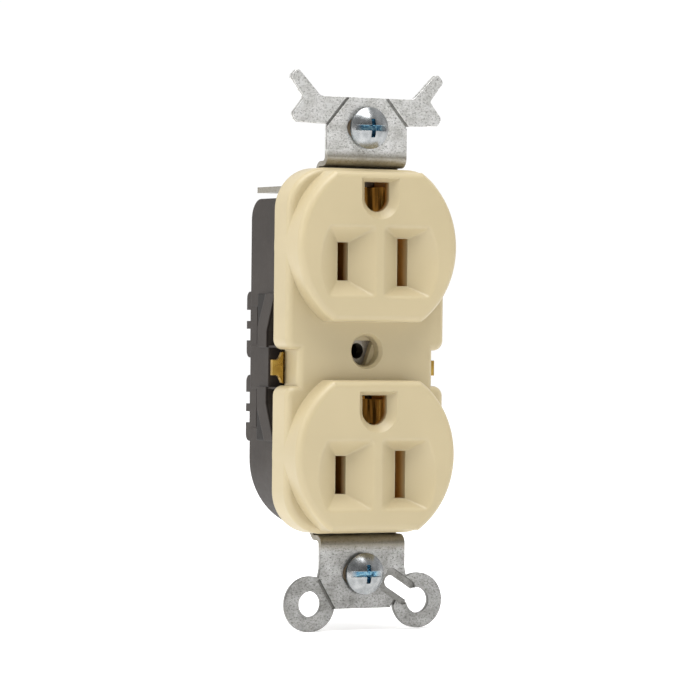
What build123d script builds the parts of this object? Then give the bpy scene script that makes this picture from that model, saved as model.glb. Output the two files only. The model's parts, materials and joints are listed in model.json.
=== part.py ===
"""Duplex wall outlet: ivory cover, dark rear body, galvanised mounting strap, brass contacts and their screws.

Millimetres. X is right as seen from the front, +Y goes back into the wall, +Z is up.
The origin lies on the front plane of the strap's ears, midway between the two box screws.
"""

import os
from math import atan2, degrees, dist

from build123d import *

SIDES = {"hot": -1, "neutral": 1}

# overall layout
box_screw_z = 83.3 / 2  # the box screws stand at plus and minus this height
outlet_z = {"upper": 38.9 / 2, "lower": -38.9 / 2}
blade_drop = 3.2  # the blade slots sit this far below each face's centre
ground_rise = 11.9  # the ground hole sits this far above the blade slots
blade_x = 6.35
middle_z = -3.2  # everything on the sides is centred on this height
socket_spread = 0.4  # the slots sit this much further from the middle than their faces do
socket_z = {
    "upper": outlet_z["upper"] - blade_drop + socket_spread,
    "lower": outlet_z["lower"] - blade_drop - socket_spread,
}
ground_z = {name: z + ground_rise for name, z in socket_z.items()}

# front cover
cover_half_w = 16.75
cover_half_h = 34.1
cover_corner_r = 8.0
cover_front_y = -0.7
cover_back_y = 5.0
cover_floor_y = 1.2
cover_wall = 1.8
face_front_y = -5.5
face_r = 16.8
face_half_h = 14.0
notch_floor_x = 14.35
notch_half_h = 3.35
notch_mouth_r = 1.9
slot_w = 2.2
slot_h = {"hot": 7.1, "neutral": 8.9}
slot_mouth_y = -2.55
funnel_r = 12.5
funnel_half_h = 6.5
funnel_rim_r = 1.0
funnel_corner_r = 0.7
funnel_foot_r = 0.15
ridge_half_w = 0.8
slot_end_y = {"hot": -0.6, "neutral": 2.0}  # the slots open into the room for the contacts here
slot_room_w = 3.0
slot_room_h = 9.6
ground_half_w = 2.6
ground_top = 2.95
ground_mouth_y = -3.9
ground_wall_end_y = -2.3
ground_lead_in = 1.45
ground_lead_top = 0.7
ground_room = (3.35, 3.6, 3.4)  # chamber behind the ground hole: half width, reach down, reach up
centre_hole_r = 2.9
centre_rim_r = 3.4
centre_floor_y = 1.9
centre_window = ((2.75, 1.95), (1.1, -2.6))  # half width and height of its upper and lower edges
chute_wall = 1.1

# mounting strap
strap_t = 1.0
strap_run_z = 35.4  # outer height of the stretches that run back over and under the cover
strap_back_y = 4.4
neck_half_w = 8.45
foot_half_w = 8.95
foot_wide = 9.4
ear_top_z = 47.35
foot_bottom_z = -48.16
bend_r = 1.8
score_depth = 0.35
back_score_depth = 0.15
score_w = 0.6
ear_tip_r = 0.8
ear_root_r = 1.6
ear_notch_r = 0.5
plain_ring = (-11.1, -47.15)
keyhole_ring = (11.8, -46.9)
ring_r = 5.2
ring_hole_r = 2.4
keyhole_end = (6.15, -43.35)
keyhole_w = 2.4
keyhole_coin_w = 4.9
keyhole_coin_depth = 0.5
keyhole_coin_reach = 0.6  # the coined recess goes this far past the slot's end
step_reach_z = 38.0
screw_slot_half_l = 4.3
screw_slot_half_h = 1.95
plate_screw_r = 1.45
plate_screw_collar_r = 2.6
plate_screw_collar = 1.6
web_half_w = 3.4
strap_seat_y = 3.3
tab_half_w = 12.5
tab_top_z = 30.8
tab_t = 1.1
tab_back_y = 20.4
turret_gap_half_w = 5.8
window_low_z = 22.9
ground_window_half = 3.8
# the flat stretch behind the cover, as (half width, from height, to height)
strap_stretches = [
    (tab_half_w, 21.6, tab_top_z),
    (web_half_w, -28.6, 22.0),
    (6.5, -15.5, 9.4),
    (11.0, -32.6, -28.4),
    (foot_half_w, -34.4, -30.0),
]

# rear body
body_half_w = 16.0
body_top_z = 28.35
body_bottom_z = -33.9
body_bottom_r = 13.5
shoulder_r = 3.8  # rounding where the top turns into the back
slab_back_y = 15.8
hump_half_w = 13.2
hump_back_y = 21.1
pad_back_y = 21.4
rib_back_y = 22.9
waist_y = 20.15
rib_end_r = 1.3
turret_half_w = 5.4
turret_top_z = 33.2
turret_back_y = 16.2
hump_top_z = 28.1
hump_bottom_z = -31.1
hump_bottom_r = 10.7
rib_inner_x = 4.5
block_front_y = 8.4
block_half_h = 3.7
arm_front_y = 8.4
arm_back_y = 12.05
arm_inner_x = 14.1
arm_outer_x = 16.5
pocket_inner_x = 9.15
pocket_back_y = 18.6
pocket_start = 4.1  # pocket ends, measured up and down from middle_z
pocket_end = 11.4
arm_bend = 6.8  # the arms turn forward this far up and down from middle_z
arm_end = 13.8
arm_end_front_y = 5.3
arm_end_back_y = 8.9
arm_wall_x = (14.4, 16.2)
arm_wall_back_y = 12.55
spine_slot_inner = 8.0
blade_chamber_back_y = 14.7
blade_chamber_half_h = 5.2
wire_x = 10.4
wire_shift = 3.0
wire_r = 1.2

# brass contacts and terminals
spine_x = 9.0  # outer face of the terminal plates
spine_t = 0.9
spine_front_y = 8.0
spine_back_y = 13.6
bridge_front_y = 5.1
bridge_t = 0.8
tab_tip_x = 17.3
tab_jog_x = 14.45  # beyond this the break-off tab steps forward, into the cover's notch
tab_jog = 0.9
tab_half = 1.43
tab_waist = [(11.6, 3.3), (14.3, 3.1), (15.3, 2.85), (15.75, 1.9), (16.2, tab_half)]  # (x, half height)
terminal_plate_half = (3.0, 3.3)  # half size of the plate behind each terminal screw, along Y and Z
spine_high_z = 21.0
spine_low_z = -27.2
bridge_root_half_h = 6.6
bridge_root_overlap = 2.3
leaf_front_y = 6.8
leaf_t = 0.5
leaf_gap = 1.3
blade_half_l = 4.0
terminal_offset = 7.7
terminal_y = 15.3
terminal_z = [middle_z + terminal_offset, middle_z - terminal_offset]
running_gap = 0.05
terminal_screw_r = 2.08
terminal_head_r = 3.1
terminal_head_h = 1.8
terminal_screw_end_x = 5.2
clamp_t = 1.0

# ground parts
ground_leaf_t = 0.6
ground_leaf_gap = 4.3
ground_contact_back_y = 14.0
ground_chamber_down = 4.0
ground_chamber_up = 3.6
ground_foot_reach = 10.6
ground_foot_room = 2.0
ground_finger_y = -1.9
ground_finger_span = (2.4, 2.1)  # reach of the fingers below and above the hole's centre
ground_leaf_down = 3.55
ground_leaf_up = 2.6
ground_foot_down = 10.3
rivet_drop = 7.95
rivet_r = 1.1
ground_screw_x = 9.4
ground_screw_y = 13.6
ground_screw_r = 2.35
ground_screw_end_z = 27.0
ground_head_r = 3.6
ground_head_h = 2.2
ground_clamp_half = 3.3

# fasteners; slots are (width, depth) and crosses are (length, width, depth)
low_dome = 0.4
box_slot = (1.05, 1.25)
box_cross = (3.9, 0.95, 1.7)
terminal_slot = (1.0, 0.8)
terminal_cross = (3.4, 0.8, 1.2)
ground_slot = (1.0, 0.9)
ground_cross = (3.6, 0.8, 1.3)
box_head_r = 3.9
box_head_h = 2.35
box_head_back_y = -0.35
box_dome = 1.7
box_shank_r = 1.6
box_thread_r = 1.75
box_thread_start_y = 2.6
box_screw_end_y = 12.2
washer_t = 0.9
washer_half = 4.6
assembly_points = [(9.8, 23.6), (-9.8, 23.6), (0, -27.8)]
assembly_r = 1.4
assembly_head_r = 1.95
assembly_head_h = 1.4
assembly_tip_y = 1.6


def facing_front(y):
    """Sketch plane across the outlet at depth y: local x is X, local y is Z, extruding goes to the front."""
    return Plane(origin=(0, y, 0), x_dir=(1, 0, 0), z_dir=(0, -1, 0))


def facing_side(x):
    """Sketch plane at width x: local x is Y, local y is Z, extruding goes towards +X."""
    return Plane(origin=(x, 0, 0), x_dir=(0, 1, 0), z_dir=(1, 0, 0))


def block(x0, x1, y0, y1, z0, z1, mode=Mode.ADD):
    """Box between two corners."""
    with Locations(((x0 + x1) / 2, (y0 + y1) / 2, (z0 + z1) / 2)):
        Box(abs(x1 - x0), abs(y1 - y0), abs(z1 - z0), mode=mode)


def rod_y(x, z, y0, y1, radius, mode=Mode.ADD):
    """Cylinder along Y."""
    with Locations(Location((x, (y0 + y1) / 2, z), (90, 0, 0))):
        Cylinder(radius, abs(y1 - y0), mode=mode)


def rod_x(y, z, x0, x1, radius, mode=Mode.ADD):
    """Cylinder along X."""
    with Locations(Location(((x0 + x1) / 2, y, z), (0, 90, 0))):
        Cylinder(radius, abs(x1 - x0), mode=mode)


def rod_z(x, y, z0, z1, radius, mode=Mode.ADD):
    """Cylinder along Z."""
    with Locations((x, y, (z0 + z1) / 2)):
        Cylinder(radius, abs(z1 - z0), mode=mode)


def corners_near(shape, points):
    """A sketch's vertices at the given places, on either side of the middle."""
    return shape.vertices().filter_by(lambda v: any(dist((abs(v.X), v.Y), point) < 0.05 for point in points))


def ground_profile(centre_z, grow=0.0, grow_top=0.0):
    """Flat-topped, round-bottomed ground hole in X and Z."""
    half = ground_half_w + grow
    top = centre_z + ground_top + grow_top
    with BuildSketch(Plane.XY) as shape:
        with BuildLine():
            Line((-half, centre_z), (-half, top))
            Line((-half, top), (half, top))
            Line((half, top), (half, centre_z))
            ThreePointArc((half, centre_z), (0, centre_z - half), (-half, centre_z))
        make_face()
    return shape.sketch


def export(part, name):
    """Label a sub-part and write its STEP file."""
    part.label = name
    export_step(part, f"parts/{name}.step")


os.makedirs("parts", exist_ok=True)

# ---------------------------------------------------------------- front cover
with BuildPart() as cover_plate:
    with BuildSketch(facing_front(cover_back_y)) as plate_outline:
        RectangleRounded(2 * cover_half_w, 2 * cover_half_h, cover_corner_r)
        for side in SIDES.values():
            with Locations((side * (notch_floor_x + 4), middle_z)):
                Rectangle(8, 2 * notch_half_h, mode=Mode.SUBTRACT)
        on_side = plate_outline.vertices().filter_by(lambda v: abs(abs(v.X) - cover_half_w) < 0.01)
        fillet(on_side.filter_by(lambda v: abs(v.Y - middle_z) < notch_half_h + 0.1), notch_mouth_r)
    extrude(amount=cover_back_y - cover_front_y)
    fillet(cover_plate.faces().sort_by(Axis.Y)[0].outer_wire().edges(), 1.2)

with BuildPart() as round_faces:
    for z in outlet_z.values():
        with BuildSketch(facing_front(cover_back_y)):
            with Locations((0, z)):
                Circle(face_r)
                Rectangle(4 * face_r, 2 * face_half_h, mode=Mode.INTERSECT)
        extrude(amount=cover_back_y - face_front_y)
    rims = round_faces.faces().filter_by(Axis.Y).group_by(Axis.Y)[0].edges()
    fillet(rims, 1.3)
    # funnels that guide the blades into their slots
    for z in socket_z.values():
        for name, side in SIDES.items():
            with BuildSketch(facing_front(face_front_y)) as funnel_rim:
                with Locations((0, z)):
                    Circle(funnel_r)
                with Locations((side * (ridge_half_w + funnel_r / 2), z)):
                    Rectangle(funnel_r, 2 * funnel_half_h, mode=Mode.INTERSECT)
                fillet(funnel_rim.vertices(), funnel_corner_r)
            with BuildSketch(facing_front(slot_mouth_y)) as funnel_foot:
                with Locations((side * blade_x, z)):
                    Rectangle(slot_w + 0.3, slot_h[name] + 0.3)
                fillet(funnel_foot.vertices(), funnel_foot_r)
            loft(ruled=True, mode=Mode.SUBTRACT)
    on_front = round_faces.edges().filter_by_position(Axis.Y, face_front_y - 0.01, face_front_y + 0.01)
    fillet(on_front.filter_by(lambda e: 0.5 < abs(e.center().X) < funnel_r + 0.1), funnel_rim_r)

with BuildPart() as cover_inside:
    with BuildSketch(facing_front(cover_back_y)):
        RectangleRounded(
            2 * (cover_half_w - cover_wall), 2 * (cover_half_h - cover_wall), cover_corner_r - cover_wall
        )
        for side in SIDES.values():
            with Locations((side * (notch_floor_x + 4 - cover_wall), middle_z)):
                Rectangle(8, 2 * (notch_half_h + cover_wall), mode=Mode.SUBTRACT)
    extrude(amount=cover_back_y - cover_floor_y)
    with BuildSketch(facing_front(cover_back_y)):
        for z in socket_z.values():
            for side in SIDES.values():
                with Locations((side * blade_x, z)):
                    Rectangle(slot_room_w + 2 * chute_wall, slot_room_h + 2 * chute_wall)
        half, down, up = ground_room
        for z in ground_z.values():
            with Locations((0, z + (up - down) / 2)):
                Rectangle(2 * (half + chute_wall), up + down + 2 * chute_wall)
        Circle(centre_hole_r + chute_wall)
        for x, z in assembly_points:
            with Locations((x, z)):
                Circle(assembly_r + 1.6)
    extrude(amount=cover_back_y - cover_floor_y, mode=Mode.SUBTRACT)

with BuildPart() as front_cover:
    add(cover_plate)
    add(round_faces)
    add(cover_inside, mode=Mode.SUBTRACT)
    for z in socket_z.values():
        for name, side in SIDES.items():
            x = side * blade_x
            half_h = slot_h[name] / 2
            end_y = slot_end_y[name]
            block(x - slot_w / 2, x + slot_w / 2, face_front_y, end_y, z - half_h, z + half_h, Mode.SUBTRACT)
            # room for the contact behind the slot
            half_w = slot_room_w / 2
            half_h = slot_room_h / 2
            block(x - half_w, x + half_w, end_y, cover_back_y, z - half_h, z + half_h, Mode.SUBTRACT)
    half, down, up = ground_room
    for z in ground_z.values():
        with BuildSketch(facing_front(face_front_y - 0.01)):
            add(ground_profile(z, ground_lead_in, ground_lead_top))
        with BuildSketch(facing_front(ground_mouth_y)):
            add(ground_profile(z))
        loft(mode=Mode.SUBTRACT)
        with BuildSketch(facing_front(ground_wall_end_y)):
            add(ground_profile(z))
        extrude(amount=ground_wall_end_y - face_front_y, mode=Mode.SUBTRACT)
        block(-half, half, ground_wall_end_y, cover_back_y, z - down, z + up, Mode.SUBTRACT)
    # centre hole for the wall plate's screw: countersunk rim, bore and a three-sided window in its floor
    rod_y(0, 0, face_front_y, centre_floor_y, centre_hole_r, mode=Mode.SUBTRACT)
    with BuildSketch(facing_front(cover_front_y)):
        Circle(centre_rim_r)
    with BuildSketch(facing_front(cover_front_y + 0.8)):
        Circle(centre_hole_r)
    loft(mode=Mode.SUBTRACT)
    with BuildSketch(facing_front(cover_back_y)):
        with BuildLine():
            (top_half, top_z), (low_half, low_z) = centre_window
            Polyline((-top_half, top_z), (top_half, top_z), (low_half, low_z), (-low_half, low_z), close=True)
        make_face()
    extrude(amount=cover_back_y - centre_floor_y + 0.1, mode=Mode.SUBTRACT)
    for x, z in assembly_points:
        rod_y(x, z, assembly_tip_y - 0.2, cover_back_y, assembly_r, mode=Mode.SUBTRACT)
    # seat of the strap across the chutes, the bosses and the two end walls
    end_walls = [(neck_half_w, tab_top_z - 0.5, cover_half_h), (foot_half_w, -cover_half_h, -tab_top_z)]
    for half_w, low, high in strap_stretches + end_walls:
        seat_half_w = half_w + 0.1
        block(-seat_half_w, seat_half_w, strap_seat_y, cover_back_y, low - 0.1, high + 0.1, mode=Mode.SUBTRACT)
export(front_cover.part, "front_cover")

# ---------------------------------------------------------------- mounting strap
half_ear = [
    (0, ear_top_z),
    (9.87, ear_top_z),
    (14.85, 52.47),
    (16.33, 50.86),
    (13.41, 47.03),
    (15.91, 43.9),
    (15.09, 42.45),
    (8.47, 42.23),
    (neck_half_w, step_reach_z),
    (0, step_reach_z),
]


def midway(start, end):
    """Location in a sketch halfway between two points, turned along the line that joins them."""
    start, end = Vector(start), Vector(end)
    run = end - start
    middle = (start + end) / 2
    return Location((middle.X, middle.Y, 0), (0, 0, degrees(atan2(run.Y, run.X))))


def groove(start, end):
    """Score lines on both faces of the strap between two points in X and Z."""
    for back_y, depth in ((score_depth, score_depth), (strap_t, back_score_depth)):
        with BuildSketch(facing_front(back_y)) as line:
            with Locations(midway(start, end)):
                Rectangle(dist(start, end), score_w)
        extrude(line.sketch, amount=depth, mode=Mode.SUBTRACT)


def strap_step(half_w, up):
    """The stretch of strap that steps back from an ear's plane to the plane behind the cover."""
    outer = strap_run_z
    inner = strap_run_z - strap_t
    with BuildSketch(facing_side(-half_w)) as step:
        with BuildLine():
            Polyline(
                (0, up * step_reach_z),
                (strap_t, up * step_reach_z),
                (strap_t, up * outer),
                (strap_back_y, up * outer),
                (strap_back_y, up * tab_top_z),
                (strap_back_y - strap_t, up * tab_top_z),
                (strap_back_y - strap_t, up * inner),
                (0, up * inner),
                close=True,
            )
        make_face()
        inside = [(strap_t, outer), (strap_back_y - strap_t, inner)]
        outside = [(strap_back_y, outer), (0, inner)]
        for points, radius in ((inside, bend_r - strap_t), (outside, bend_r)):
            corners = step.vertices().filter_by(lambda v: (round(v.X, 2), round(abs(v.Y), 2)) in points)
            fillet(corners, radius)
    extrude(step.sketch, amount=2 * half_w)


def slot_between(start, end, width):
    """Round-ended slot between two centres, in the sketch being drawn."""
    with Locations(midway(start, end)):
        SlotCenterToCenter(dist(start, end), width)


with BuildPart() as mounting_strap:
    # upper ear with its two break-off plaster ears
    with BuildSketch(facing_front(strap_t)) as upper_ear:
        with BuildLine():
            Polyline(*half_ear, close=True)
        make_face()
        mirror(about=Plane.YZ)
        fillet(corners_near(upper_ear, [half_ear[2], half_ear[3], half_ear[5], half_ear[6]]), ear_tip_r)
        fillet(corners_near(upper_ear, [half_ear[1]]), ear_root_r)
        fillet(corners_near(upper_ear, [half_ear[4]]), ear_notch_r)
        with Locations((0, box_screw_z)):
            SlotOverall(2 * screw_slot_half_l, 2 * screw_slot_half_h, mode=Mode.SUBTRACT)
    extrude(amount=strap_t)
    # foot plate with its two break-off rings
    with BuildSketch(facing_front(strap_t)):
        with BuildLine():
            Polyline(
                (-foot_half_w, -step_reach_z),
                (foot_half_w, -step_reach_z),
                (foot_half_w, -40.6),
                (foot_wide, -42.8),
                (6.05, foot_bottom_z),
                (-6.05, foot_bottom_z),
                (-foot_wide, -42.8),
                (-foot_half_w, -40.6),
                close=True,
            )
        make_face()
        with Locations(plain_ring, keyhole_ring):
            Circle(ring_r)
        with Locations(plain_ring, keyhole_ring):
            Circle(ring_hole_r, mode=Mode.SUBTRACT)
        with Locations((0, -box_screw_z)):
            SlotOverall(2 * screw_slot_half_l, 2 * screw_slot_half_h, mode=Mode.SUBTRACT)
    extrude(amount=strap_t)
    strap_step(neck_half_w, 1)
    strap_step(foot_half_w, -1)
    # coined recess and slot that run from the right ring towards the screw
    along = (Vector(keyhole_end) - Vector(keyhole_ring)).normalized()
    coin_end = Vector(keyhole_end) + along * (keyhole_w / 2 + keyhole_coin_reach)
    coin_start = Vector(keyhole_ring) + along * (ring_hole_r - 0.6)
    with BuildSketch(facing_front(keyhole_coin_depth)) as coin:
        with Locations(midway(coin_start, coin_end)):
            RectangleRounded((coin_end - coin_start).length, keyhole_coin_w, 0.9)
    extrude(coin.sketch, amount=keyhole_coin_depth, mode=Mode.SUBTRACT)
    with BuildSketch(facing_front(strap_t)):
        slot_between(keyhole_ring, keyhole_end, keyhole_w)
    extrude(amount=strap_t, mode=Mode.SUBTRACT)
    for side in SIDES.values():
        groove((side * 4.13, ear_top_z), (side * 8.67, 42.0))
        groove((side * foot_wide, -42.6), (side * 6.05, foot_bottom_z))
    # flat stretch behind the cover, open around the blades and the ground pins
    with BuildSketch(facing_front(strap_back_y)):
        for half_w, low, high in strap_stretches:
            with Locations((0, (low + high) / 2)):
                Rectangle(2 * half_w, high - low)
        with Locations((0, (tab_top_z + window_low_z) / 2)):
            Rectangle(2 * turret_gap_half_w, tab_top_z - window_low_z, mode=Mode.SUBTRACT)
        with Locations((0, ground_z["lower"])):
            Rectangle(2 * ground_window_half, 2 * ground_window_half, mode=Mode.SUBTRACT)
        with Locations(*[(x, z) for x, z in assembly_points]):
            Circle(assembly_r + 0.3, mode=Mode.SUBTRACT)
        with Locations(*[(0, z - rivet_drop) for z in ground_z.values()]):
            Circle(rivet_r, mode=Mode.SUBTRACT)
    extrude(amount=strap_t)
    # rear ground tab, bent back above the body
    block(-tab_half_w, tab_half_w, strap_back_y - strap_t, tab_back_y, tab_top_z - tab_t, tab_top_z)
    block(
        -turret_gap_half_w,
        turret_gap_half_w,
        strap_back_y - strap_t,
        turret_back_y + 0.4,
        tab_top_z - tab_t,
        tab_top_z,
        mode=Mode.SUBTRACT,
    )
    rod_z(ground_screw_x, ground_screw_y, tab_top_z - tab_t, tab_top_z, ground_screw_r + running_gap, Mode.SUBTRACT)
    # extruded collar, tapped for the wall plate's screw
    rod_y(0, 0, strap_back_y, strap_back_y + plate_screw_collar, plate_screw_collar_r)
    rod_y(0, 0, strap_back_y - strap_t, strap_back_y + plate_screw_collar, plate_screw_r, mode=Mode.SUBTRACT)
export(mounting_strap.part, "mounting_strap")

# ---------------------------------------------------------------- rear body
# ribs across the back, as (from, to, rounded end), measured up and down from middle_z
rib_spans = [(1.65, 4.9, 1.65), (7.1, 8.6, None), (10.7, 14.2, 14.2)]
body_front_y = strap_back_y - 0.1  # cuts through the body's front start here


def body_shell(half_w, top, bottom, bottom_r, front_y, back_y):
    """Body slab with round lower corners, whose top is rounded over towards the back."""
    with BuildPart(mode=Mode.PRIVATE) as shell:
        with BuildSketch(facing_front(back_y)) as shell_outline:
            with Locations((0, (top + bottom) / 2)):
                Rectangle(2 * half_w, top - bottom)
            fillet(shell_outline.vertices().group_by(Axis.Y)[0], bottom_r)
        extrude(shell_outline.sketch, amount=back_y - front_y)
        fillet(shell.edges().filter_by(Axis.X).sort_by(Axis.Z)[-2:].sort_by(Axis.Y)[-1], shoulder_r)
    return shell.part


def rib(side, up, near, far, rounded):
    """One rib of the back, measured up or down from middle_z."""
    low, high = sorted((middle_z + up * near, middle_z + up * far))
    with BuildSketch(facing_side(side * rib_inner_x)) as profile:
        with Locations(((hump_back_y + rib_back_y) / 2 - 0.1, (low + high) / 2)):
            Rectangle(rib_back_y - hump_back_y + 0.2, high - low)
        if rounded:
            fillet(corners_near(profile, [(rib_back_y, middle_z + up * rounded)]), rib_end_r)
    extrude(profile.sketch, amount=side * (hump_half_w - rib_inner_x))


with BuildPart() as rear_body:
    add(body_shell(body_half_w, body_top_z, body_bottom_z, body_bottom_r, cover_back_y, slab_back_y))
    add(body_shell(hump_half_w, hump_top_z, hump_bottom_z, hump_bottom_r, slab_back_y - 5, hump_back_y))
    # housing of the upper ground contact, which stands up between the arms of the ground tab
    block(-turret_half_w, turret_half_w, cover_back_y, turret_back_y, body_top_z - 2, turret_top_z)
    # lands that the strap lies on
    for half_w, low, high in strap_stretches:
        block(-half_w + 0.3, half_w - 0.3, strap_back_y, cover_back_y + 0.5, low + 0.3, min(high, body_top_z) - 0.3)
    for side in SIDES.values():
        for up in (1, -1):
            near, far = middle_z + up * rib_spans[0][0], middle_z + up * rib_spans[-1][1]
            block(side * rib_inner_x, side * hump_half_w, hump_back_y - 0.1, pad_back_y, near, far)
            for near, far, rounded in rib_spans:
                rib(side, up, near, far, rounded)
        block(side * 11.0, side * 14.0, waist_y, rib_back_y, middle_z - 1.65, middle_z + 1.65, Mode.SUBTRACT)
    # terminal pockets, open at the sides
    for side in SIDES.values():
        for up in (1, -1):
            block(
                side * pocket_inner_x,
                side * 17.0,
                cover_back_y,
                pocket_back_y,
                middle_z + up * pocket_start,
                middle_z + up * pocket_end,
                mode=Mode.SUBTRACT,
            )
            # gap between the cover and the slanting arm
            with BuildSketch(facing_side(side * 15.2)):
                with BuildLine():
                    Polyline(
                        (cover_back_y, middle_z + up * pocket_start),
                        (arm_front_y + 0.1, middle_z + up * pocket_start),
                        (arm_front_y + 0.1, middle_z + up * arm_bend),
                        (arm_end_front_y + 0.1, middle_z + up * (arm_end - 0.2)),
                        (cover_back_y, middle_z + up * (arm_end - 0.2)),
                        close=True,
                    )
                make_face()
            extrude(amount=2.2, both=True, mode=Mode.SUBTRACT)
            # guard arm, which stands out a little from the side
            with BuildSketch(facing_side(side * (arm_inner_x + arm_outer_x) / 2)):
                with BuildLine():
                    Polyline(
                        (arm_front_y, middle_z + up * block_half_h),
                        (arm_front_y, middle_z + up * arm_bend),
                        (arm_end_front_y, middle_z + up * arm_end),
                        (arm_end_back_y, middle_z + up * arm_end),
                        (arm_back_y, middle_z + up * (arm_bend + 0.8)),
                        (arm_back_y, middle_z + up * block_half_h),
                        close=True,
                    )
                make_face()
            extrude(amount=(arm_outer_x - arm_inner_x) / 2, both=True)
            # wall behind the slanting part of the arm
            with BuildSketch(facing_side(side * arm_wall_x[0])):
                with BuildLine():
                    Polyline(
                        (arm_back_y - 0.1, middle_z + up * arm_bend),
                        (arm_end_back_y - 0.1, middle_z + up * (arm_end - 0.1)),
                        (arm_wall_back_y, middle_z + up * (arm_end - 0.1)),
                        (arm_wall_back_y, middle_z + up * arm_bend),
                        close=True,
                    )
                make_face()
            extrude(amount=side * (arm_wall_x[1] - arm_wall_x[0]))
        # room around the break-off tab in front of the middle block
        block(
            side * spine_slot_inner,
            side * 17.0,
            cover_back_y,
            block_front_y,
            middle_z - block_half_h,
            middle_z + block_half_h,
            mode=Mode.SUBTRACT,
        )
        block(
            side * spine_slot_inner,
            side * 13.0,
            cover_back_y,
            block_front_y,
            middle_z - bridge_root_half_h - 0.2,
            middle_z + bridge_root_half_h + 0.2,
            mode=Mode.SUBTRACT,
        )
        # slot for the strip's spine, and its widening around the terminal plates
        block(
            side * spine_slot_inner,
            side * pocket_inner_x,
            spine_front_y - 0.1,
            spine_back_y + 0.2,
            spine_low_z - 0.3,
            spine_high_z + 0.3,
            mode=Mode.SUBTRACT,
        )
        for z in terminal_z:
            block(
                side * spine_slot_inner,
                side * (pocket_inner_x + 0.1),
                spine_back_y - 0.2,
                pocket_back_y,
                z - 3.5,
                z + 3.5,
                mode=Mode.SUBTRACT,
            )
            rod_x(terminal_y, z, side * 4.7, side * 9.0, terminal_screw_r + 0.5, mode=Mode.SUBTRACT)
            for shift in (-wire_shift, wire_shift):
                rod_y(side * wire_x, z + shift, pocket_back_y - 0.1, rib_back_y + 0.1, wire_r, mode=Mode.SUBTRACT)
        # blade chambers
        for z in socket_z.values():
            block(
                side * 4.6,
                side * (spine_slot_inner + 0.1),
                body_front_y,
                blade_chamber_back_y,
                z - blade_chamber_half_h,
                z + blade_chamber_half_h,
                mode=Mode.SUBTRACT,
            )
    # channel for both ground contacts and the end of the wall plate's screw
    channel_low = ground_z["lower"] - ground_chamber_down
    channel_high = ground_z["upper"] + ground_chamber_up
    block(-web_half_w, web_half_w, body_front_y, blade_chamber_back_y, channel_low, channel_high, mode=Mode.SUBTRACT)
    # room for the foot and the rivet of the lower ground contact
    foot_low = ground_z["lower"] - ground_foot_reach
    foot_room_y = strap_back_y + ground_foot_room
    block(-web_half_w, web_half_w, body_front_y, foot_room_y, foot_low, channel_low, mode=Mode.SUBTRACT)
    rod_z(ground_screw_x, ground_screw_y, ground_screw_end_z - 0.5, turret_top_z, ground_screw_r + 0.5, Mode.SUBTRACT)
    for x, z in assembly_points:
        rod_y(x, z, body_front_y, hump_back_y, assembly_r + 0.1, mode=Mode.SUBTRACT)
        rod_y(x, z, hump_back_y - assembly_head_h - 0.1, hump_back_y, assembly_head_r + 0.15, mode=Mode.SUBTRACT)
export(rear_body.part, "rear_body")

# ---------------------------------------------------------------- brass contact strips
def tab_blank(side):
    """Link plate and break-off tab: the outline seen from the front, cut from a strip that steps forward."""
    inner = side * (spine_x - spine_t)
    front = bridge_front_y - tab_jog
    with BuildPart(mode=Mode.PRIVATE) as blank:
        with BuildSketch(facing_front(bridge_front_y + bridge_t)) as seen:
            with BuildLine():
                for up in (1, -1):
                    Polyline(
                        (inner, middle_z),
                        (inner, middle_z + up * bridge_root_half_h),
                        (side * spine_x, middle_z + up * bridge_root_half_h),
                        *[(side * x, middle_z + up * half) for x, half in tab_waist],
                        (side * tab_tip_x, middle_z + up * tab_half),
                        (side * tab_tip_x, middle_z),
                    )
            make_face()
        extrude(seen.sketch, amount=bridge_t + tab_jog)
        with BuildSketch(Plane.XY.offset(middle_z - bridge_root_half_h)) as strip:
            with BuildLine():
                Polyline(
                    (inner, bridge_front_y),
                    (side * tab_jog_x, bridge_front_y),
                    (side * (tab_jog_x + tab_jog * 0.7), front),
                    (side * tab_tip_x, front),
                    (side * tab_tip_x, front + bridge_t),
                    (side * (tab_jog_x + tab_jog * 0.7 + 0.3), front + bridge_t),
                    (side * (tab_jog_x + 0.3), bridge_front_y + bridge_t),
                    (inner, bridge_front_y + bridge_t),
                    close=True,
                )
            make_face()
        extrude(strip.sketch, amount=2 * bridge_root_half_h, mode=Mode.INTERSECT)
    return blank.part


for name, side in SIDES.items():
    with BuildPart() as contact_strip:
        for up, z in ((1, terminal_z[0]), (-1, terminal_z[1])):
            end_z = spine_high_z if up > 0 else spine_low_z
            start_z = middle_z + up * bridge_root_half_h
            root_z = start_z - up * bridge_root_overlap
            inner_x, outer_x = side * (spine_x - spine_t), side * spine_x
            half_y, half_z = terminal_plate_half
            block(inner_x, outer_x, spine_front_y, spine_back_y, root_z, end_z)
            block(inner_x, outer_x, bridge_front_y, spine_back_y, root_z, start_z)
            block(inner_x, outer_x, terminal_y - half_y, terminal_y + half_y, z - half_z, z + half_z)
            rod_x(terminal_y, z, inner_x, outer_x, terminal_screw_r + running_gap, mode=Mode.SUBTRACT)
        # link between the halves, with the break-off tab that reaches out through the cover's notch
        add(tab_blank(side))
        # twin leaves that grip each blade
        for z in socket_z.values():
            near = blade_x + leaf_gap / 2
            far = blade_x - leaf_gap / 2 - leaf_t
            low, high = z - blade_half_l, z + blade_half_l
            block(side * near, side * (near + leaf_t), leaf_front_y, spine_back_y, low, high)
            block(side * far, side * (far + leaf_t), leaf_front_y, spine_back_y, low, high)
            block(side * far, side * spine_x, spine_back_y - leaf_t, spine_back_y, low, high)
    export(contact_strip.part, f"{name}_contact_strip")

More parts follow.
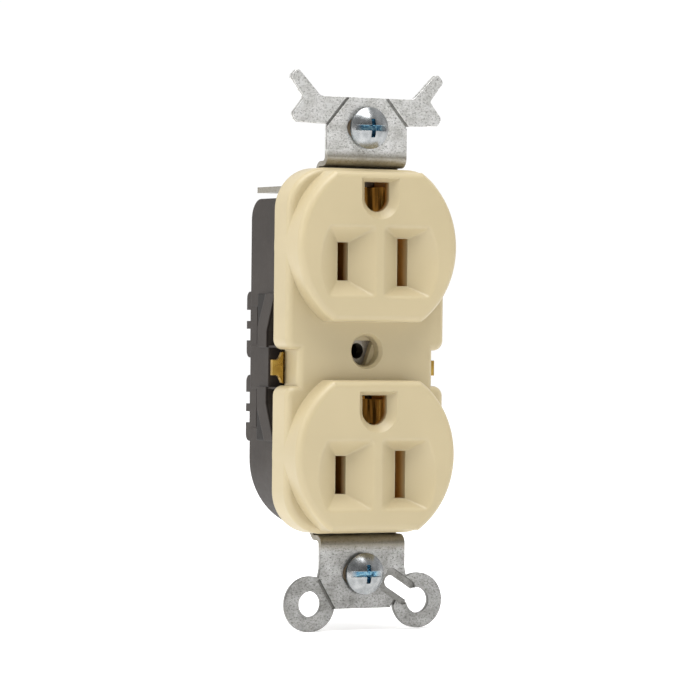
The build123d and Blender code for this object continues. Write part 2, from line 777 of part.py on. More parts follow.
# ---------------------------------------------------------------- ground contacts
for level, z in ground_z.items():
    inner = ground_leaf_gap / 2
    outer = inner + ground_leaf_t
    floor_z = z - ground_leaf_down
    with BuildPart() as ground_contact:
        foot_z = z - ground_foot_down
        block(-3.0, 3.0, strap_back_y, strap_back_y + ground_leaf_t, foot_z, floor_z + ground_leaf_t)
        block(-outer, outer, strap_back_y, ground_contact_back_y, floor_z, floor_z + ground_leaf_t)
        finger_low, finger_high = z - ground_finger_span[0], z + ground_finger_span[1]
        for side in (-1, 1):
            block(side * inner, side * outer, strap_back_y + ground_leaf_t, ground_contact_back_y, floor_z, z + ground_leaf_up)
            # fingers that reach forward through the strap's window
            block(side * inner, side * outer, ground_finger_y, strap_back_y + ground_leaf_t, finger_low, finger_high)
        rod_y(0, z - rivet_drop, strap_back_y, strap_back_y + ground_leaf_t, rivet_r, mode=Mode.SUBTRACT)
    export(ground_contact.part, f"{level}_ground_contact")
    with BuildPart() as ground_rivet:
        rod_y(0, z - rivet_drop, strap_back_y - strap_t - 0.6, strap_back_y - strap_t, 1.8)
        rod_y(0, z - rivet_drop, strap_back_y - strap_t, strap_back_y + ground_leaf_t, rivet_r)
        rod_y(0, z - rivet_drop, strap_back_y + ground_leaf_t, strap_back_y + ground_leaf_t + 0.7, 1.8)
    export(ground_rivet.part, f"{level}_ground_rivet")


def machine_screw(head_r, head_h, dome, steps, slot, cross):
    """Screw along local Z: the head's underside is at 0 and the shank's steps, each (radius, length), go down."""
    with BuildPart(mode=Mode.PRIVATE) as screw:
        with BuildSketch(Plane.XZ):
            with BuildLine():
                Line((0, 0), (head_r, 0))
                Line((head_r, 0), (head_r, head_h - dome))
                ThreePointArc((head_r, head_h - dome), (head_r * 0.6, head_h - dome * 0.3), (0, head_h))
                Line((0, head_h), (0, 0))
            make_face()
        revolve(axis=Axis.Z)
        depth = 0.0
        for radius, length in steps:
            rod_z(0, 0, -depth - length, -depth, radius)
            depth += length
        if slot:
            slot_width, slot_depth = slot
            block(-head_r, head_r, -slot_width / 2, slot_width / 2, head_h - slot_depth, head_h + 1, Mode.SUBTRACT)
        if cross:
            cross_length, cross_width, cross_depth = cross
            for across in (True, False):
                with BuildSketch(Plane.XY.offset(head_h + 0.2)):
                    long, short = (cross_length, cross_width) if across else (cross_width, cross_length)
                    Rectangle(long, short)
                extrude(amount=-cross_depth - 0.2, taper=8, mode=Mode.SUBTRACT)
    return screw.part


# ---------------------------------------------------------------- screws that travel
terminal_screw = machine_screw(
    terminal_head_r,
    terminal_head_h,
    low_dome,
    [(terminal_screw_r, spine_x + clamp_t + 2 * running_gap - terminal_screw_end_x)],
    terminal_slot,
    terminal_cross,
)
for name, side in SIDES.items():
    for level, z in zip(("upper", "lower"), terminal_z):
        with BuildPart() as clamp_plate:
            inner_x = spine_x + running_gap
            block(side * inner_x, side * (inner_x + clamp_t), terminal_y - 2.9, terminal_y + 2.9, z - 3.3, z + 3.3)
            rod_x(terminal_y, z, side * inner_x, side * (inner_x + clamp_t), terminal_screw_r + running_gap, Mode.SUBTRACT)
        export(clamp_plate.part, f"{name}_clamp_plate_{level}")
        with BuildPart() as side_screw:
            head_x = side * (spine_x + clamp_t + 2 * running_gap)
            with Locations(Location((head_x, terminal_y, z), (0, side * 90, 0))):
                add(terminal_screw)
        export(side_screw.part, f"{name}_terminal_screw_{level}")

with BuildPart() as ground_clamp_plate:
    plate_low = tab_top_z + running_gap
    block(
        ground_screw_x - ground_clamp_half,
        ground_screw_x + ground_clamp_half,
        ground_screw_y - ground_clamp_half,
        ground_screw_y + ground_clamp_half,
        plate_low,
        plate_low + clamp_t,
    )
    rod_z(ground_screw_x, ground_screw_y, plate_low, plate_low + clamp_t, ground_screw_r + running_gap, Mode.SUBTRACT)
export(ground_clamp_plate.part, "ground_clamp_plate")

ground_head_z = tab_top_z + clamp_t + 2 * running_gap
with BuildPart() as ground_screw:
    with Locations((ground_screw_x, ground_screw_y, ground_head_z)):
        add(
            machine_screw(
                ground_head_r,
                ground_head_h,
                low_dome,
                [(ground_screw_r, ground_head_z - ground_screw_end_z)],
                ground_slot,
                ground_cross,
            )
        )
export(ground_screw.part, "green_ground_screw")

# ---------------------------------------------------------------- box screws and the washers that hold them
box_screw = machine_screw(
    box_head_r,
    box_head_h,
    box_dome,
    [
        (box_thread_r, -box_head_back_y - 0.05),
        (box_shank_r, box_thread_start_y + 0.05),
        (box_thread_r, box_screw_end_y - box_thread_start_y),
    ],
    box_slot,
    box_cross,
)
for level, up in (("upper", 1), ("lower", -1)):
    with BuildPart() as box_screw_piece:
        with Locations(Location((0, box_head_back_y, up * box_screw_z), (90, 0, 0))):
            add(box_screw)
    export(box_screw_piece.part, f"{level}_box_screw")
    with BuildPart() as retaining_washer:
        washer_front = strap_t + running_gap
        block(
            -washer_half,
            washer_half,
            washer_front,
            washer_front + washer_t,
            up * box_screw_z - washer_half,
            up * box_screw_z + washer_half,
        )
        rod_y(0, up * box_screw_z, washer_front, washer_front + washer_t, box_shank_r + running_gap, Mode.SUBTRACT)
    export(retaining_washer.part, f"{level}_retaining_washer")

# ---------------------------------------------------------------- screws that hold the body to the cover
assembly_screw = machine_screw(
    assembly_head_r,
    assembly_head_h,
    0.3,
    [(assembly_r, hump_back_y - assembly_head_h - 0.1 - assembly_tip_y)],
    None,
    (2.4, 0.6, 0.9),
)
with BuildPart() as assembly_screws:
    for x, z in assembly_points:
        with Locations(Location((x, hump_back_y - assembly_head_h - 0.1, z), (-90, 0, 0))):
            add(assembly_screw)
export(assembly_screws.part, "assembly_screws")
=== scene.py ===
"""Looks of the duplex wall outlet: materials, threaded screws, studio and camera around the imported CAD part."""

import json
from math import cos, pi, radians, sin, tau

import bmesh
import bpy
from mathutils import Matrix, Vector


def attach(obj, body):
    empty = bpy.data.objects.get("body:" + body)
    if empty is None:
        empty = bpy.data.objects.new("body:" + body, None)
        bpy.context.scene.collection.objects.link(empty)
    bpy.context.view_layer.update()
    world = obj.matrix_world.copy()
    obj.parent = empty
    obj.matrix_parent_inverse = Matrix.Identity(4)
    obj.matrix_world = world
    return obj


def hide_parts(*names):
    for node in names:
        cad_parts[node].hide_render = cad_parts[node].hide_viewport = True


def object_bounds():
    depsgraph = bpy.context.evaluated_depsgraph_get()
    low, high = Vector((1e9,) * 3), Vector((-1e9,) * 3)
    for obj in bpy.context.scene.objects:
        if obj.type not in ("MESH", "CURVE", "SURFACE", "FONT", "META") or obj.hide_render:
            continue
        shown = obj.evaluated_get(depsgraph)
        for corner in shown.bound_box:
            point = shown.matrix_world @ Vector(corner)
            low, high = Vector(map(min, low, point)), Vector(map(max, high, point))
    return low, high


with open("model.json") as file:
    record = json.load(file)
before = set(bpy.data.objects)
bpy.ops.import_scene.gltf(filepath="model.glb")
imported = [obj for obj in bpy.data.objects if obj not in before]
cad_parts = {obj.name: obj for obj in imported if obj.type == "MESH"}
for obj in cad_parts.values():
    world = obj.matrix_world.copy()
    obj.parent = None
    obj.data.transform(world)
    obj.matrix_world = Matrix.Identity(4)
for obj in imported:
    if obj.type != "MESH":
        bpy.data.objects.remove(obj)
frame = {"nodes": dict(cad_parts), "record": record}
cad_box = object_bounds()

MM = 0.001

# ---------------------------------------------------------------- sizes of the screws, in millimetres
# dome is how much of the head's height is dome, slot is (width, depth), cross is (length, width, depth), and shank
# lists (radius, length, root radius of the thread or None) from the head down
BOX_SCREW = {
    "head_r": 3.9,
    "head_h": 2.35,
    "dome": 1.7,
    "slot": (1.05, 1.25),
    "cross": (3.9, 0.95, 1.7),
    "shank": [(1.72, 0.3, None), (1.55, 2.65, None), (1.75, 9.6, 1.42)],
}
TERMINAL_SCREW = {
    "head_r": 3.1,
    "head_h": 1.8,
    "dome": 0.4,
    "slot": (1.0, 0.8),
    "cross": (3.4, 0.8, 1.2),
    "shank": [(2.08, 4.9, 1.72)],
}
GROUND_SCREW = {
    "head_r": 3.6,
    "head_h": 2.2,
    "dome": 0.4,
    "slot": (1.0, 0.9),
    "cross": (3.6, 0.8, 1.3),
    "shank": [(2.35, 4.9, 1.98)],
}
HEAD_SIDES = 96
HEAD_UNDERSIDE = 0.97  # radius of the underside, as a share of the head's
HEAD_CHAMFER = 0.08
DOME_STEPS = 14
DOME_CROWN = 0.12  # how far the dome's shoulder lies below a parabola
SLOT_CUTTER_OVER = 0.5  # how far the cutters stand out above the head
CROSS_CUTTER_OVER = 0.3
CROSS_FOOT = 0.72  # size of the recess at its foot, as a share of its mouth
SHANK_SIDES = 40
TIP_CHAMFER = 0.5
THREAD_PITCH = 0.794
THREAD_ROWS = ((0.0, False), (0.38, True), (0.5, True), (0.88, False))  # (share of the pitch, on the crest)
SHARP_ANGLE = radians(32)

# where the undersides of the heads lie
BOX_SCREW_SPACING = 83.3
BOX_SCREW_SEAT_Y = -0.35
TERMINAL_MIDDLE_Z = -3.2
TERMINAL_OFFSET_Z = 7.7
TERMINAL_SEAT_X = 10.1
TERMINAL_SEAT_Y = 15.3
GROUND_SCREW_SEAT = (9.4, 13.6, 31.9)

# ---------------------------------------------------------------- where the finishes, the painted shade and the painted glow change, in millimetres
# each pair is where a mask starts to change and where it has changed, unless it says from and to
FACES_Z = (7.0, 32.0)  # from and to, on both sides of the middle
SLOTS_X = (8.3, 8.4)
SLOTS_Y = (-2.55, -0.2)
GROUND_HOLE_X = (2.75, 2.85)
GROUND_HOLE_Y = (-3.9, -2.6)
RIGHT_SLOT_X = (2.8, 3.2)
ARM_WALL_X = (16.1, 16.3)  # from and to
FOOT_Z = (-44.0, -20.0)
EARS_Z = (37.0, 38.0)
CUT_EDGE_Y = (0.1, 0.46)  # from and to, inside the sheet
BENDS_Z = (34.5, 36.3)  # from and to
CENTRE_Z = (5.0, 7.0)
REAR_Y = (2.4, 3.4)
KEYHOLE_FLOOR_Y = (0.48, 0.52)  # from and to
KEYHOLE_Z = (-39.0, -38.0)
CONTACTS_X = (3.5, 3.6)
CONTACTS_Y = (-3.0, 8.0)  # from and to
CONTACTS_LIT_X = (-0.4, 2.2)
SCREW_SKIN = (0.12, 0.5)  # depth below the head's outer skin
SCREW_UNDERSIDE = (0.1, 0.4)
RECESS_R = (1.9, 2.5)

# ---------------------------------------------------------------- studio
# camera: where it stands and how it is turned, fitted to the photograph's viewing angle
CAMERA_AZIMUTH = radians(-28.55)
CAMERA_ELEVATION = radians(0.43)
CAMERA_ROLL = radians(-0.60)
CAMERA_DISTANCE = 0.7328
CAMERA_ASIDE = 0.00283
CAMERA_ABOVE = -0.00016
CAMERA_LENS = 201.4
CAMERA_SENSOR = 36.0

FLOOR_GLOW = 0.34
FLOOR_INNER_R = 0.05
FLOOR_RING_GROWTH = 1.6
FLOOR_RINGS = 9
FLOOR_SIDES = 64

# (position, size, power)
SOFTBOXES = {
    "left_softbox": ((-1.0, -0.1, 0.35), (0.7, 0.9), 2.5),
    "top_softbox": ((-0.1, -0.35, 1.0), (0.9, 0.7), 13.0),
}
# the room is darker in front of the object than behind it
ROOM_SHADE = {"From Min": -0.9, "From Max": 0.1, "To Min": 0.22, "To Max": 1.03}


# ---------------------------------------------------------------- node helpers
class Nodes:
    """Builds one material's node tree. Noise scales are per metre; places, depths and radii are in millimetres."""

    def __init__(self, name):
        self.material = bpy.data.materials.new(name)
        self.material.use_nodes = True
        self.tree = self.material.node_tree
        self.shader = self.tree.nodes["Principled BSDF"]
        self.coords = self.add("ShaderNodeTexCoord").outputs["Object"]

    def feed(self, socket, value):
        """Links a socket to another one, or sets it to a number or a colour."""
        if isinstance(value, bpy.types.NodeSocket):
            self.tree.links.new(value, socket)
        elif socket.type == "RGBA":
            socket.default_value = (*value, 1.0)
        else:
            socket.default_value = value

    def add(self, kind, inputs=None, **settings):
        node = self.tree.nodes.new(kind)
        for key, value in settings.items():
            setattr(node, key, value)
        for key, value in (inputs or {}).items():
            self.feed(node.inputs[key], value)
        return node

    def noise(self, scale, detail, roughness=0.5, stretch=(1.0, 1.0, 1.0)):
        place = self.add("ShaderNodeMapping", {"Vector": self.coords, "Scale": stretch}).outputs["Vector"]
        inputs = {"Vector": place, "Scale": scale, "Detail": detail, "Roughness": roughness}
        return self.add("ShaderNodeTexNoise", inputs).outputs["Fac"]

    def ramp(self, source, *stops):
        """Colours along a value, each stop as (place, colour)."""
        node = self.add("ShaderNodeValToRGB", {"Fac": source})
        elements = node.color_ramp.elements
        while len(elements) < len(stops):
            elements.new(0.5)
        for element, (place, color) in zip(elements, stops):
            element.position = place
            element.color = (*color, 1.0)
        return node.outputs["Color"]

    def shades(self, source, dark, light):
        """Soft change between two colours along a noise."""
        return self.ramp(source, (0.3, dark), (0.7, light))

    def span(self, source, low, high, from_low=0.0, from_high=1.0):
        inputs = {"Value": source, "From Min": from_low, "From Max": from_high, "To Min": low, "To Max": high}
        return self.add("ShaderNodeMapRange", inputs).outputs["Result"]

    def mix(self, factor, first, second, blend="MIX"):
        inputs = {"Factor": factor, "A": first, "B": second}
        return self.add("ShaderNodeMix", inputs, data_type="RGBA", blend_type=blend).outputs["Result"]

    def math(self, operation, first, *second):
        return self.add("ShaderNodeMath", dict(enumerate((first, *second))), operation=operation).outputs[0]

    def both(self, first, second):
        """Product of two masks, or a mask made weaker by a number."""
        return self.math("MULTIPLY", first, second)

    def bump(self, height, depth, strength, below=None):
        inputs = {"Height": height, "Distance": depth * MM, "Strength": strength}
        if below is not None:
            inputs["Normal"] = below
        return self.add("ShaderNodeBump", inputs).outputs["Normal"]

    def edges(self, radius):
        """Rounds the shading of sharp edges."""
        return self.add("ShaderNodeBevel", {"Radius": radius * MM}, samples=6).outputs["Normal"]

    def axes(self):
        """The three object coordinates, in metres."""
        return self.add("ShaderNodeSeparateXYZ", {"Vector": self.coords}).outputs

    def beyond(self, place, low, high):
        """0 up to low and 1 from high on."""
        return self.span(place, 0.0, 1.0, low * MM, high * MM)

    def before(self, place, low, high):
        """1 up to low and 0 from high on."""
        return self.span(place, 1.0, 0.0, low * MM, high * MM)

    def between(self, place, low, high, soft):
        """1 from low to high, with soft shoulders."""
        return self.both(self.beyond(place, low - soft, low), self.before(place, high, high + soft))

    def finish(self, **sockets):
        """Feeds the shader's sockets, named with _ for each space, and returns the material."""
        for name, value in sockets.items():
            self.feed(self.shader.inputs[name.replace("_", " ")], value)
        return self.material


# ---------------------------------------------------------------- materials
def ivory_plastic(name):
    n = Nodes(name)
    color = n.shades(n.noise(60, 2.0), (0.425, 0.354, 0.213), (0.455, 0.379, 0.229))
    # painted shade: inside the slots and the ground holes, where light only reaches the moulding through the
    # openings, it is painted a warm brown for shade and bounced light, darker left of the right slot
    x, y, z = n.axes()
    width, height = n.math("ABSOLUTE", x), n.math("ABSOLUTE", z)
    in_slots = n.both(n.before(width, *SLOTS_X), n.beyond(y, *SLOTS_Y))
    in_holes = n.both(n.before(width, *GROUND_HOLE_X), n.beyond(y, *GROUND_HOLE_Y))
    inside = n.both(n.between(height, *FACES_Z, 0.3), n.math("MAXIMUM", in_slots, in_holes))
    shade_brown = n.mix(n.beyond(x, *RIGHT_SLOT_X), (0.28, 0.11, 0.012), (0.52, 0.27, 0.06))
    color = n.mix(inside, color, shade_brown)
    roughness = n.span(n.noise(900, 4.0), 0.33, 0.45)
    normal = n.bump(n.noise(4200, 3.0), 0.03, 0.3, n.edges(0.2))
    return n.finish(Base_Color=color, Roughness=roughness, Normal=normal, IOR=1.47)


def dark_plastic(name):
    n = Nodes(name)
    color = n.shades(n.noise(90, 3.0), (0.029, 0.0235, 0.020), (0.041, 0.034, 0.029))
    # painted shade: the wall set back behind each guard arm is painted darker than the arm itself
    width = n.math("ABSOLUTE", n.axes()["X"])
    arm_wall_shade = n.between(width, *ARM_WALL_X, 0.05)
    color = n.mix(n.both(arm_wall_shade, 0.75), color, (0.008, 0.007, 0.006))
    roughness = n.span(n.noise(700, 4.0), 0.36, 0.52)
    normal = n.bump(n.noise(3800, 4.0), 0.04, 0.45, n.edges(0.3))
    return n.finish(Base_Color=color, Roughness=roughness, Normal=normal, IOR=1.48, Specular_IOR_Level=0.18)


def galvanised_steel(name):
    n = Nodes(name)
    cloud = n.noise(330, 7.0, 0.7)
    flecks = n.noise(2800, 6.0, 0.8, stretch=(0.75, 1.0, 1.0))
    scuffs = n.noise(900, 4.0, 0.6, stretch=(0.35, 1.0, 1.0))
    dull, plain, bright = (0.47, 0.465, 0.44), (0.70, 0.695, 0.672), (0.91, 0.905, 0.89)
    color = n.ramp(cloud, (0.32, dull), (0.5, plain), (0.66, bright))
    color = n.mix(n.span(flecks, 0.0, 0.9, 0.51, 0.60), color, (0.19, 0.185, 0.165))
    color = n.mix(n.span(scuffs, 0.0, 0.55, 0.54, 0.68), color, (0.88, 0.88, 0.87))
    # painted shade: the foot of the strap is painted a darker grey than the ears, since less light from above
    # reaches it
    _, y, z = n.axes()
    color = n.mix(n.before(z, *FOOT_Z), color, (0.445, 0.445, 0.445), "MULTIPLY")
    # painted shade in the score lines and on the cut edges
    height = n.math("ABSOLUTE", z)
    groove_and_edge_shade = n.both(n.between(y, *CUT_EDGE_Y, 0.03), n.beyond(height, *EARS_Z))
    color = n.mix(n.both(groove_and_edge_shade, 0.75), color, (0.10, 0.095, 0.085))
    # painted shade on the two bends and on the stretches behind the cover, warmed by a painted reflection of the
    # ivory cover, and on the web behind the centre hole
    bend_shade = n.between(height, *BENDS_Z, 1.2)
    rear = n.beyond(y, *REAR_Y)
    behind_cover_shade = n.both(n.beyond(height, *CENTRE_Z), rear)
    color = n.mix(n.both(n.math("MAXIMUM", bend_shade, behind_cover_shade), 0.8), color, (0.22, 0.195, 0.145))
    centre_web_shade = n.math("SUBTRACT", rear, behind_cover_shade)
    color = n.mix(n.both(centre_web_shade, 0.8), color, (0.22, 0.185, 0.13))
    # the pressed floor around the keyhole slot is painted darker
    pressed = n.both(n.between(y, *KEYHOLE_FLOOR_Y, 0.02), n.before(z, *KEYHOLE_Z))
    color = n.mix(n.both(pressed, 0.6), color, (0.17, 0.165, 0.15))
    roughness = n.span(cloud, 0.48, 0.30, 0.3, 0.7)
    normal = n.bump(flecks, 0.08, 0.5, n.bump(cloud, 0.08, 0.3, n.edges(0.2)))
    return n.finish(Base_Color=color, Roughness=roughness, Normal=normal, Metallic=0.9)


def screw_finish(name, dark, light, metallic=1.0, sizes=None, tint=None):
    """Plated screw; with sizes, whatever lies below the head's outer skin takes the tint."""
    n = Nodes(name)
    color = n.shades(n.noise(700, 5.0), dark, light)
    if tint:
        x, y, z = n.axes()
        out = n.math("ADD", n.both(x, x), n.both(y, y))
        top, edge = sizes["head_h"] * MM, (sizes["head_h"] - sizes["dome"]) * MM
        skin = n.span(out, top, edge, 0.0, (sizes["head_r"] * MM) ** 2)
        below = n.beyond(n.math("SUBTRACT", skin, z), *SCREW_SKIN)
        in_head = n.beyond(z, *SCREW_UNDERSIDE)
        near_middle = n.span(out, 1.0, 0.35, *((r * MM) ** 2 for r in RECESS_R))
        mask = n.both(n.both(below, in_head), near_middle)
        deep, pale = tint
        color = n.mix(mask, color, n.ramp(n.noise(1500, 3.0), (0.35, deep), (0.68, pale)))
    roughness = n.span(n.noise(1600, 4.0), 0.16, 0.34)
    normal = n.bump(n.noise(2600, 4.0), 0.03, 0.3, n.edges(0.1))
    return n.finish(Base_Color=color, Roughness=roughness, Normal=normal, Metallic=metallic)


def metal(name, dark, light, smoothest, roughest):
    """Rolled or plated metal with faint drawing marks along the strip."""
    n = Nodes(name)
    marks = n.noise(700, 5.0, 0.6, stretch=(1.0, 1.0, 0.15))
    color = n.shades(marks, dark, light)
    roughness = n.span(n.noise(1200, 4.0), smoothest, roughest)
    normal = n.bump(marks, 0.03, 0.3, n.edges(0.12))
    return n.finish(Base_Color=color, Roughness=roughness, Normal=normal, Metallic=1.0)


def fibre_board(name):
    n = Nodes(name)
    threads = n.noise(1800, 6.0, 0.7, stretch=(1.0, 1.0, 0.4))
    color = n.shades(threads, (0.42, 0.31, 0.20), (0.60, 0.47, 0.33))
    roughness = n.span(threads, 0.75, 0.95)
    normal = n.bump(threads, 0.1, 0.6)
    return n.finish(Base_Color=color, Roughness=roughness, Normal=normal)


def contact_brass(name):
    n = Nodes(name)
    color = n.shades(n.noise(500, 5.0), (0.30, 0.18, 0.035), (0.48, 0.31, 0.07))
    # painted glow: emission keeps the sockets' insides a warm brown, standing in for light that comes through the
    # thin ivory walls
    x, y, _ = n.axes()
    inside = n.both(n.before(n.math("ABSOLUTE", x), *CONTACTS_X), n.between(y, *CONTACTS_Y, 3.0))
    painted_glow = n.both(inside, n.span(n.noise(520, 3.0, stretch=(1.0, 1.0, 0.2)), 0.03, 0.26, 0.42, 0.62))
    painted_glow = n.both(painted_glow, n.span(x, 0.04, 1.0, *(edge * MM for edge in CONTACTS_LIT_X)))
    roughness = n.span(n.noise(1300, 4.0), 0.22, 0.38)
    normal = n.bump(n.noise(1800, 4.0), 0.03, 0.35, n.edges(0.1))
    return n.finish(
        Base_Color=color,
        Roughness=roughness,
        Normal=normal,
        Metallic=1.0,
        Emission_Color=(0.62, 0.27, 0.045),
        Emission_Strength=painted_glow,
    )


recess_blue = ((0.05, 0.16, 0.27), (0.30, 0.50, 0.58))
finishes = {
    "ivory_cover": (ivory_plastic,),
    "dark_body": (dark_plastic,),
    "galvanised_strap": (galvanised_steel,),
    "box_screw_zinc": (screw_finish, (0.21, 0.22, 0.225), (0.37, 0.38, 0.385), 1.0, BOX_SCREW, recess_blue),
    "fibre_washer": (fibre_board,),
    "contact_brass": (contact_brass,),
    "rivet_steel": (metal, (0.42, 0.42, 0.42), (0.58, 0.58, 0.57), 0.3, 0.45),
    "green_screw": (screw_finish, (0.02, 0.20, 0.07), (0.05, 0.33, 0.13), 0.75),
    "assembly_steel": (metal, (0.35, 0.35, 0.36), (0.52, 0.52, 0.53), 0.28, 0.42),
    "terminal_brass": (screw_finish, (0.66, 0.44, 0.13), (0.84, 0.61, 0.24)),
    "terminal_nickel": (screw_finish, (0.54, 0.53, 0.50), (0.72, 0.71, 0.68)),
    "clamp_steel": (metal, (0.48, 0.48, 0.47), (0.66, 0.66, 0.65), 0.28, 0.42),
}
materials = {name: make(name, *details) for name, (make, *details) in finishes.items()}
slots = {part["node"]: part["material_slot"] for part in frame["record"]["subparts"]}


def give_finish(piece, node):
    """Gives a piece the finish of its node's material slot."""
    piece.data.materials.clear()
    piece.data.materials.append(materials[slots[node]])


for node in slots:
    give_finish(frame["nodes"][node], node)


# ---------------------------------------------------------------- threaded screws
def add_object(name, data):
    item = bpy.data.objects.new(name, data)
    bpy.context.collection.objects.link(item)
    return item


def mesh_from(points, faces, name):
    data = bpy.data.meshes.new(name)
    data.from_pydata([(x * MM, y * MM, z * MM) for x, y, z in points], [], faces)
    return data


def circle(radius, height, sides):
    return [(radius * cos(tau * i / sides), radius * sin(tau * i / sides), height) for i in range(sides)]


def ring_faces(first, second, sides):
    return [(first + i, first + (i + 1) % sides, second + (i + 1) % sides, second + i) for i in range(sides)]


def head_mesh(sizes):
    """Domed head, underside at local Z 0, closed."""
    radius, height, dome = sizes["head_r"], sizes["head_h"], sizes["dome"]
    profile = [(radius * HEAD_UNDERSIDE, 0.0), (radius, HEAD_CHAMFER)]
    for step in range(DOME_STEPS):
        out = 1 - step / DOME_STEPS
        profile.append((radius * out, height - dome + dome * (1 - out * out) * (1 - DOME_CROWN * out)))
    points = [(0.0, 0.0, 0.0)]
    for r, z in profile:
        points += circle(r, z, HEAD_SIDES)
    points.append((0.0, 0.0, height))
    starts = [1 + ring * HEAD_SIDES for ring in range(len(profile))]
    apex = len(points) - 1
    faces = [(0, 1 + (i + 1) % HEAD_SIDES, 1 + i) for i in range(HEAD_SIDES)]
    for first, second in zip(starts, starts[1:]):
        faces += ring_faces(first, second, HEAD_SIDES)
    faces += [(starts[-1] + i, starts[-1] + (i + 1) % HEAD_SIDES, apex) for i in range(HEAD_SIDES)]
    return mesh_from(points, faces, "head")


def prism(outline, low, high, foot):
    """Closed prism whose foot is a scaled copy of its top."""
    count = len(outline)
    points = [(x * foot, y * foot, low) for x, y in outline] + [(x, y, high) for x, y in outline]
    faces = [tuple(reversed(range(count))), tuple(range(count, 2 * count))] + ring_faces(0, count, count)
    return mesh_from(points, faces, "cutter")


def cut(target, cutter_mesh):
    """Target mesh with the cutter taken away."""
    body = add_object("body", target)
    tool = add_object("tool", cutter_mesh)
    change = body.modifiers.new("cut", "BOOLEAN")
    change.operation = "DIFFERENCE"
    change.solver = "EXACT"
    change.object = tool
    result = bpy.data.meshes.new_from_object(body.evaluated_get(bpy.context.evaluated_depsgraph_get()))
    bpy.data.objects.remove(body)
    bpy.data.objects.remove(tool)
    return result


def plain_step(radius, top, bottom):
    """Points and faces of a smooth stretch of shank."""
    points = circle(radius, bottom, SHANK_SIDES) + circle(radius, top, SHANK_SIDES)
    return points, ring_faces(0, SHANK_SIDES, SHANK_SIDES)


def threaded_step(radius, root, top, bottom):
    """Points and faces of a threaded stretch, whose rows climb by one pitch a turn."""
    turns = int((top - bottom) / THREAD_PITCH + 2)
    rows = [
        (radius if crest else root, bottom + (turn - 1 + share) * THREAD_PITCH)
        for turn in range(turns)
        for share, crest in THREAD_ROWS
    ]
    points = []
    for row_radius, start in rows:
        for i in range(SHANK_SIDES):
            level = min(max(start + THREAD_PITCH * i / SHANK_SIDES, bottom), top)
            r = min(row_radius, radius - max(0.0, TIP_CHAMFER - (level - bottom)))
            points.append((r * cos(tau * i / SHANK_SIDES), r * sin(tau * i / SHANK_SIDES), level))
    faces = []
    last = SHANK_SIDES - 1
    for k in range(len(rows) - 1):
        row, above = k * SHANK_SIDES, (k + 1) * SHANK_SIDES
        faces += [(row + i, row + i + 1, above + i + 1, above + i) for i in range(last)]
        # a row's last point is followed by the first point of the row one turn on
        if k + 1 + len(THREAD_ROWS) < len(rows):
            after = (k + len(THREAD_ROWS)) * SHANK_SIDES
            faces.append((row + last, after, after + SHANK_SIDES, above + last))
    return points, faces


def shank_mesh(steps):
    """Shank below the head: every stretch is open at its top and closed at its foot."""
    points, faces = [], []
    top = 0.0
    for radius, length, root in steps:
        bottom = top - length
        if root:
            step_points, step_faces = threaded_step(radius, root, top, bottom)
        else:
            step_points, step_faces = plain_step(radius, top, bottom)
        foot = tuple(range(SHANK_SIDES))
        start = len(points)
        points += step_points
        faces += [tuple(start + i for i in face) for face in [*step_faces, foot]]
        top = bottom
    return mesh_from(points, faces, "shank")


def screw_mesh(sizes, name):
    slot_width, slot_depth = sizes["slot"]
    half_slot, reach, top = slot_width / 2, sizes["head_r"] + SLOT_CUTTER_OVER, sizes["head_h"]
    slot = [(-reach, -half_slot), (reach, -half_slot), (reach, half_slot), (-reach, half_slot)]
    length, width, depth = sizes["cross"]
    long, half = length / 2, width / 2
    arm = [(half, half), (half, long), (-half, long)]
    cross = []
    for _ in range(4):
        cross += arm
        arm = [(-y, x) for x, y in arm]
    head = cut(head_mesh(sizes), prism(slot, top - slot_depth, top + SLOT_CUTTER_OVER, 1.0))
    head = cut(head, prism(cross, top - depth, top + CROSS_CUTTER_OVER, CROSS_FOOT))
    joined = bmesh.new()
    joined.from_mesh(head)
    joined.from_mesh(shank_mesh(sizes["shank"]))
    bmesh.ops.recalc_face_normals(joined, faces=joined.faces)
    data = bpy.data.meshes.new(name)
    joined.to_mesh(data)
    joined.free()
    for face in data.polygons:
        face.use_smooth = True
    data.set_sharp_from_angle(angle=SHARP_ANGLE)
    return data


def place_screw(sizes, node, body, where, turn):
    """A screw that stands for its CAD node, with its head's underside at where."""
    piece = add_object(f"{node}_threaded", screw_mesh(sizes, node))
    piece.matrix_world = Matrix.Translation(Vector(where) * MM) @ turn.to_4x4()
    give_finish(piece, node)
    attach(piece, body)
    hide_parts(node)


facing_front = Matrix.Rotation(pi / 2, 3, "X")
for level, up in (("upper", 1), ("lower", -1)):
    seat = (0.0, BOX_SCREW_SEAT_Y, up * BOX_SCREW_SPACING / 2)
    place_screw(BOX_SCREW, f"{level}_box_screw", f"{level}_screw", seat, facing_front)
    for side, out in (("hot", -1), ("neutral", 1)):
        seat = (out * TERMINAL_SEAT_X, TERMINAL_SEAT_Y, TERMINAL_MIDDLE_Z + up * TERMINAL_OFFSET_Z)
        facing_out = Matrix.Rotation(out * pi / 2, 3, "Y")
        place_screw(TERMINAL_SCREW, f"{side}_terminal_screw_{level}", f"{side}_screw_{level}", seat, facing_out)
place_screw(GROUND_SCREW, "green_ground_screw", "ground_screw", GROUND_SCREW_SEAT, Matrix.Identity(3))


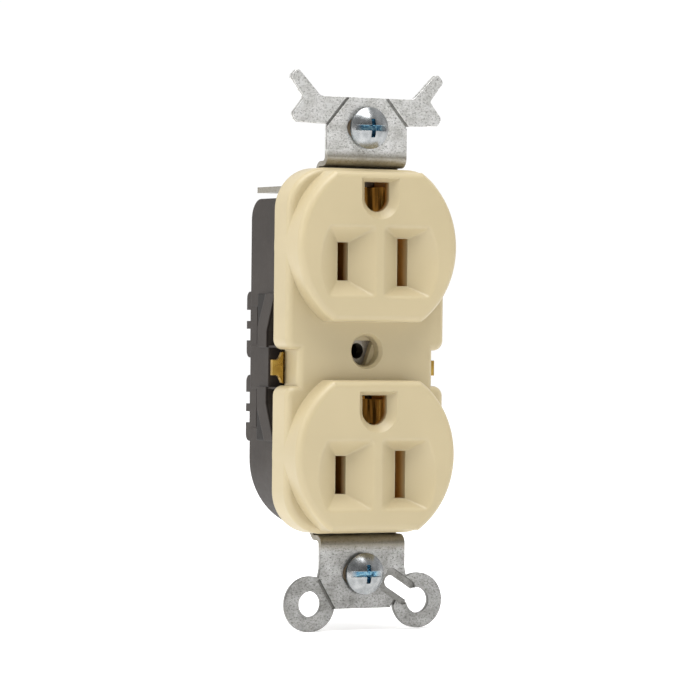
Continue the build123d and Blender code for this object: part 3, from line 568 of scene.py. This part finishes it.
# ---------------------------------------------------------------- studio and camera
def place_camera():
    away = cos(CAMERA_ELEVATION)
    back = Vector((sin(CAMERA_AZIMUTH) * away, -cos(CAMERA_AZIMUTH) * away, sin(CAMERA_ELEVATION)))
    right = Vector((cos(CAMERA_AZIMUTH), sin(CAMERA_AZIMUTH), 0.0))
    up = back.cross(right)
    place = back * CAMERA_DISTANCE - right * CAMERA_ASIDE - up * CAMERA_ABOVE
    rolled_right = right * cos(CAMERA_ROLL) - up * sin(CAMERA_ROLL)
    rolled_up = right * sin(CAMERA_ROLL) + up * cos(CAMERA_ROLL)
    data = bpy.data.cameras.new("camera")
    data.lens = CAMERA_LENS
    data.sensor_width = CAMERA_SENSOR
    camera = add_object("camera", data)
    camera.matrix_world = Matrix.Translation(place) @ Matrix((rolled_right, rolled_up, back)).transposed().to_4x4()
    bpy.context.scene.camera = camera


def lay_floor():
    """Wide pale floor under the object."""
    low = cad_box[0][2]
    radii = [FLOOR_INNER_R * FLOOR_RING_GROWTH**ring for ring in range(FLOOR_RINGS)]
    mesh = bmesh.new()
    loops = [[mesh.verts.new(point) for point in circle(radius, low, FLOOR_SIDES)] for radius in radii]
    mesh.faces.new(loops[0])
    for inner, outer in zip(loops, loops[1:]):
        for i in range(FLOOR_SIDES):
            after = (i + 1) % FLOOR_SIDES
            mesh.faces.new((inner[i], outer[i], outer[after], inner[after]))
    data = bpy.data.meshes.new("studio_floor")
    mesh.to_mesh(data)
    mesh.free()
    n = Nodes("studio_floor")
    color = n.shades(n.noise(3.0, 2.0), (0.90, 0.90, 0.90), (0.93, 0.93, 0.93))
    data.materials.append(
        n.finish(Base_Color=color, Roughness=0.95, Emission_Color=color, Emission_Strength=FLOOR_GLOW)
    )
    add_object("studio_floor", data)


def hang_softbox(name, position, size, power):
    """Rectangular area light that faces the object."""
    data = bpy.data.lights.new(name, "AREA")
    data.shape = "RECTANGLE"
    data.size, data.size_y = size
    data.energy = power
    light = add_object(name, data)
    light.location = position
    light.rotation_euler = (-Vector(position)).to_track_quat("-Z", "Y").to_euler()


def light_room():
    """White surroundings whose brightness changes from front to back."""
    world = bpy.data.worlds.new("studio")
    bpy.context.scene.world = world
    world.use_nodes = True
    nodes, links = world.node_tree.nodes, world.node_tree.links
    direction = nodes.new("ShaderNodeTexCoord")
    axes = nodes.new("ShaderNodeSeparateXYZ")
    shade = nodes.new("ShaderNodeMapRange")
    for name, value in ROOM_SHADE.items():
        shade.inputs[name].default_value = value
    background = nodes["Background"]
    background.inputs["Color"].default_value = (1.0, 1.0, 1.0, 1.0)
    links.new(direction.outputs["Generated"], axes.inputs["Vector"])
    links.new(axes.outputs["Y"], shade.inputs["Value"])
    links.new(shade.outputs["Result"], background.inputs["Strength"])


place_camera()
lay_floor()
for name, (position, size, power) in SOFTBOXES.items():
    hang_softbox(name, position, size, power)
light_room()
bpy.context.scene.view_settings.view_transform = "Standard"
